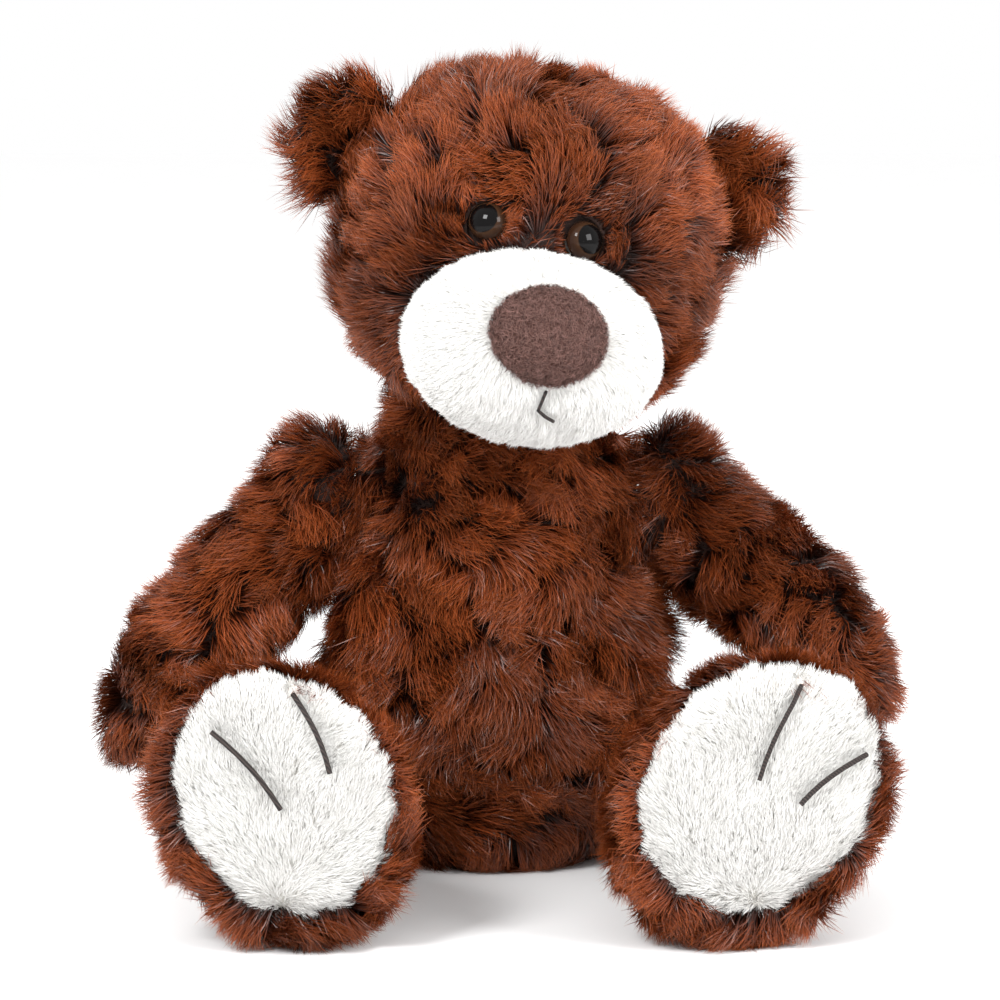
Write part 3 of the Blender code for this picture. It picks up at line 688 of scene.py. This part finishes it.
def coat(node, body, filling, flow_of, length, covers=(), parts_of=None, near=None, seed=1):
    """Makes one pelt of brown plush with its pile.

    covers are the nodes of the same body that lie on it.
    """
    rng = np.random.default_rng(seed)
    base = merged_copy(node, node.replace("_skin", "") + "_pelt")
    tree = surface_of(filling) if filling else None
    outer, moved = pelt(base, tree, SINK if filling else SINK / 2)
    base.data.materials.append(backing.material)
    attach(base, body)
    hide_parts(node)
    roots, upward, depth = sow(base, outer, moved, COAT_DENSITY, rng)
    skin = roots + upward * depth[:, None]
    room = gap_to(neighbours(body), skin)
    keep = room > CROWDED
    for cover in covers:
        keep &= gap_to(surface_of(cover), skin) > COVER_GAP
    roots, upward, skin = (v[keep] for v in (roots, upward, skin))
    ahead = gap_to(neighbours(body), skin + upward * AHEAD)
    lengths = np.full(len(roots), length) * np.clip(ahead / AHEAD + 0.8, SHORTEST, 1)
    if near:
        lengths = near(skin, lengths)
        live = lengths > 0.001
        roots, upward, skin, lengths = (v[live] for v in (roots, upward, skin, lengths))
    parts = parts_of(skin) if parts_of else None
    name = node.replace("_skin", "") + "_pile"
    grow(name, body, brown_pile, roots, upward, flow_of(skin), lengths, COAT, rng, parts)


# %% Trunk
FLANK = 0.030
ARMPIT_HEIGHT = 0.075


def trunk_flow(p):
    return np.tile([0.0, -0.15, -1.0], (len(p), 1))


def under_arms(p, lengths):
    """A longer pile on the flanks, where it fills the gap under each arm."""
    flank = np.clip((np.abs(p[:, 0]) - FLANK) / 0.012, 0, 1)
    return lengths * (1 + 0.45 * flank * np.exp(-(((p[:, 2] - ARMPIT_HEIGHT) / 0.032) ** 2)))


coat(
    "trunk_skin", "trunk", "trunk_stuffing", trunk_flow, 0.0140,
    parts_of=front_and_back(0, 0.005), near=under_arms, seed=11,
)

# %% Head and ears
eyes = [np.array(middle("eye_left")), np.array(middle("eye_right"))]
face = np.array(middle("muzzle"))
crown = np.array(middle("head_skin"))
EYE_CLEAR = 0.0085


def head_flow(p):
    return unit(p - face) + np.array([0.0, 0.1, -0.15])


def round_eyes(p, lengths):
    """No pile on the eyes, and a short one just round them."""
    away = np.min([np.linalg.norm(p - eye, axis=1) for eye in eyes], axis=0)
    return np.where(away < EYE_CLEAR, 0, lengths * np.clip((away - 0.004) / 0.014, 0.3, 1))


coat(
    "head_skin", "head", "head_stuffing", head_flow, 0.0125,
    covers=["muzzle", "ear_left", "ear_right"],
    parts_of=front_and_back(crown[0], crown[1]), near=round_eyes, seed=21,
)


def ear_flow(p):
    return unit(p - crown) + np.array([0.0, 0.1, 0.0])


for number, ear in enumerate(["ear_left", "ear_right"]):
    coat(ear, "head", None, ear_flow, 0.0135, covers=["head_skin"], seed=31 + number)

# %% Arms and legs
for number, side in enumerate(["left", "right"]):
    out = 1 if side == "left" else -1

    def arm_flow(p, out=out):
        return np.tile([0.5 * out, -0.1, -0.85], (len(p), 1))

    def leg_flow(p, side=side):
        sole = np.array(middle(f"leg_{side}_sole"))
        spread = p - sole
        spread[:, 1] = 0
        return unit(spread) * 0.8 + np.array([0.0, -1.0, 0.0])

    coat(
        f"arm_{side}_skin", f"arm_{side}", f"arm_{side}_stuffing", arm_flow, 0.0125,
        parts_of=upper_and_lower, seed=41 + number,
    )
    coat(
        f"leg_{side}_skin", f"leg_{side}", f"leg_{side}_stuffing", leg_flow, 0.0115,
        covers=[f"leg_{side}_sole"], parts_of=upper_and_lower, seed=51 + number,
    )

# %% [markdown]
# ## The white pads
# The muzzle and the soles are cut from white plush with a much shorter, finer pile. Each sole is
# puffed up between two stitched lines that stand for toes. So the pad is given small even faces,
# pressed in along the stitches and raised between them, and the pile is parted over the thread.

# %% White plush
FINE = {
    "width": 0.00025,
    "swirl": 0.14,
    "wander": 0.35,
    "stray": 0.22,
    "rise": (0.40, 0.60),
    "clump": 0.2,
    "curl": 0.08,
    "per_tuft": 60 * THIN,
    "stations": STATIONS,
    "taper": TAPER,
}
FINE_DENSITY = 9.5 * THIN
FINE_LENGTH = 0.0044
CREASE = 0.0018
PUFF = 0.0014
BACK_SIDE = 0.5
PAD_SINK = 0.0014
PUFF_REACH = 0.008
CREASE_REACH = 0.0028
PARTING = 0.0007
PAD_GAP = 0.0003
SHORT_NEAR = 0.004


def white_pad(node, body, name, threads, filling, flow_of, covers, voxel, seed, inset=None):
    """A puffed pad of white plush, creased along its threads, with its fine pile."""
    rng = np.random.default_rng(seed)
    base = rounded_copy(node, name, voxel, 4)
    if inset:
        low, high = (np.array(corner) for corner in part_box(node))
        inner_low, inner_high = low + np.array(inset[0]), high - np.array(inset[1])
        points, _, _ = arrays(base)
        points = inner_low + (points - low) / (high - low) * (inner_high - inner_low)
        move_points(base, points)
    tree = surface_of(filling) if filling else None
    outer, moved = pelt(base, tree, PAD_SINK)
    lines = surface_of(*threads)
    points, normals, _ = arrays(base)
    away = np.abs(gap_to(lines, points))
    lift = PUFF * (1 - np.exp(-((away / PUFF_REACH) ** 2)))
    lift -= CREASE * np.exp(-((away / CREASE_REACH) ** 2))
    points += normals * (lift * outer)[:, None]
    move_points(base, points)
    base.data.materials.append(white_backing.material)
    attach(base, body)
    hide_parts(node)
    roots, upward, _ = sow(base, outer, moved, FINE_DENSITY, rng)
    near = np.abs(gap_to(lines, roots))
    keep = (near > PARTING) & (upward[:, 1] < BACK_SIDE)
    for cover in covers:
        keep &= gap_to(surface_of(cover), roots) > PAD_GAP
    roots, upward, near = (v[keep] for v in (roots, upward, near))
    lengths = FINE_LENGTH * np.clip(near / SHORT_NEAR, 0.45, 1)
    flow = flow_of(roots)
    grow(
        name + "_pile", body, white_pile, roots, upward, flow, lengths, FINE, rng,
        upper_and_lower(roots),
    )
    return base


# %% Soles
INSETS = {
    "left": ((0.0026, 0.0, 0.0088), (0.0010, 0.0, -0.0036)),
    "right": ((0.0032, 0.0, 0.0074), (0.0028, 0.0, -0.0032)),
}
FRINGE_LENGTH = 0.0122
FRINGE_EDGE = 0.955
FRINGE_GAP = 0.0006
FRINGE_SINK = 0.0025


def share_of_outline(points, outline):
    """How far out each point lies on the front of a pad: 1 at the pad's edge."""
    centre = (outline.min(0) + outline.max(0)) / 2
    spread = outline - centre
    angles = np.arctan2(spread[:, 2], spread[:, 0])
    reach = np.hypot(spread[:, 0], spread[:, 2])
    steps = np.linspace(-math.pi, math.pi, 49)
    edge = np.array([reach[np.abs(angles - step) < 0.12].max() for step in steps])
    offset = points - centre
    here = np.arctan2(offset[:, 2], offset[:, 0])
    return np.hypot(offset[:, 0], offset[:, 2]) / np.interp(here, steps, edge)


for number, side in enumerate(["left", "right"]):
    body = f"leg_{side}"
    sole = f"leg_{side}_sole"
    heel = np.array(middle(sole)) - np.array([0, 0, 0.012])

    def sole_flow(p, heel=heel):
        return (p - heel) * np.array([1.0, 0.0, 1.0]) + np.array([0.0, 0.0, 0.016])

    pad = white_pad(
        sole, body, f"sole_{side}_pad", [f"leg_{side}_toe_stitch_1", f"leg_{side}_toe_stitch_2"],
        None, sole_flow, [], 0.0011, 61 + number, INSETS[side],
    )
    edging = merged_copy(sole, f"edging_{side}")
    rng = np.random.default_rng(65 + number)
    roots, upward = sow_all_over(edging, COAT_DENSITY * 1.2, rng)
    bpy.data.objects.remove(edging)
    outside = share_of_outline(roots, arrays(pad)[0]) > FRINGE_EDGE
    outside &= gap_to(surface_of(f"leg_{side}_skin"), roots) > FRINGE_GAP
    roots, upward = roots[outside], upward[outside]
    spread = (roots - np.array(middle(sole))) * np.array([1.0, 0.0, 1.0])
    flow = unit(spread) + np.array([0, -0.25, 0])
    roots = roots - upward * FRINGE_SINK
    lengths = np.full(len(roots), FRINGE_LENGTH)
    name = f"leg_{side}_fringe"
    grow(name, body, brown_pile, roots, upward, flow, lengths, COAT, rng)

# %% Muzzle
tip_of_nose = np.array(middle("nose")) - np.array([0, 0.008, 0])


def muzzle_flow(p):
    return unit(p - tip_of_nose) + np.array([0.0, 0.0, -0.1])


white_pad(
    "muzzle", "head", "muzzle_pad", ["mouth_stitch"], "head_stuffing", muzzle_flow,
    ["nose", "head_skin"], 0.0013, 71,
)

# %% [markdown]
# ## Nose and eyes
# The felt nose is the frame's nose with small even faces, so that its outline is round, and a mist
# of loose wool fibres over it. Each eye is a turned dome with the ring painted by how far a point
# is from the middle of the eye.

# %% Nose
rng = np.random.default_rng(81)
nose = rounded_copy("nose", "felt_nose", 0.0007, 3)
nose.data.materials.append(felt.material)
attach(nose, "head")
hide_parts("nose")
FUZZ = dict(
    FINE, width=0.00016, swirl=2.5, wander=1.5, rise=(0.1, 0.45), clump=0.05, curl=0.4, per_tuft=3
)
FUZZ_DENSITY = 5
FUZZ_LENGTH = 0.0024
roots, upward = sow_all_over(nose, FUZZ_DENSITY, rng)
keep = gap_to(surface_of("muzzle"), roots) > COVER_GAP
roots, upward = roots[keep], upward[keep]
lengths = np.full(len(roots), FUZZ_LENGTH)
flow = np.tile([0.0, 0.0, -1.0], (len(roots), 1))
grow("felt_nose_fibres", "head", felt_pile, roots, upward, flow, lengths, FUZZ, rng)

# %% Eyes
EYE_RADIUS = 0.0062
EYE_DOME = 0.0047


def eye(side):
    """A domed eye that looks the way that the frame's eye does."""
    points, _, _ = arrays(nodes[f"eye_{side}"])
    washer = middle(f"eye_{side}_washer")
    look = (middle(f"eye_{side}") - washer).normalized()
    front = Vector(points[(points @ np.array(look)).argmax()])
    seat = washer + look * ((front - washer).dot(look) - EYE_DOME)
    bpy.ops.object.select_all(action="DESELECT")
    bpy.ops.mesh.primitive_uv_sphere_add(segments=56, ring_count=32, radius=EYE_RADIUS, location=seat)
    piece = bpy.context.object
    piece.name = f"eye_{side}_dome"
    piece.scale = (1, 1, EYE_DOME / EYE_RADIUS)
    piece.rotation_euler = look.to_track_quat("Z", "Y").to_euler()
    bpy.ops.object.transform_apply(location=True, rotation=True, scale=True)
    bpy.ops.object.shade_smooth()
    points, _, _ = arrays(piece)
    offset = points - np.array(seat)
    axis = np.array(look)
    apart = np.linalg.norm(offset - (offset @ axis)[:, None] * axis, axis=1) / EYE_RADIUS
    layer = piece.data.attributes.new("ring", "FLOAT", "POINT")
    layer.data.foreach_set("value", apart.astype(np.float32))
    piece.data.materials.append(eye_plastic.material)
    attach(piece, "head")
    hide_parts(f"eye_{side}")
    return piece


for side in ("left", "right"):
    print(eye(side).name)
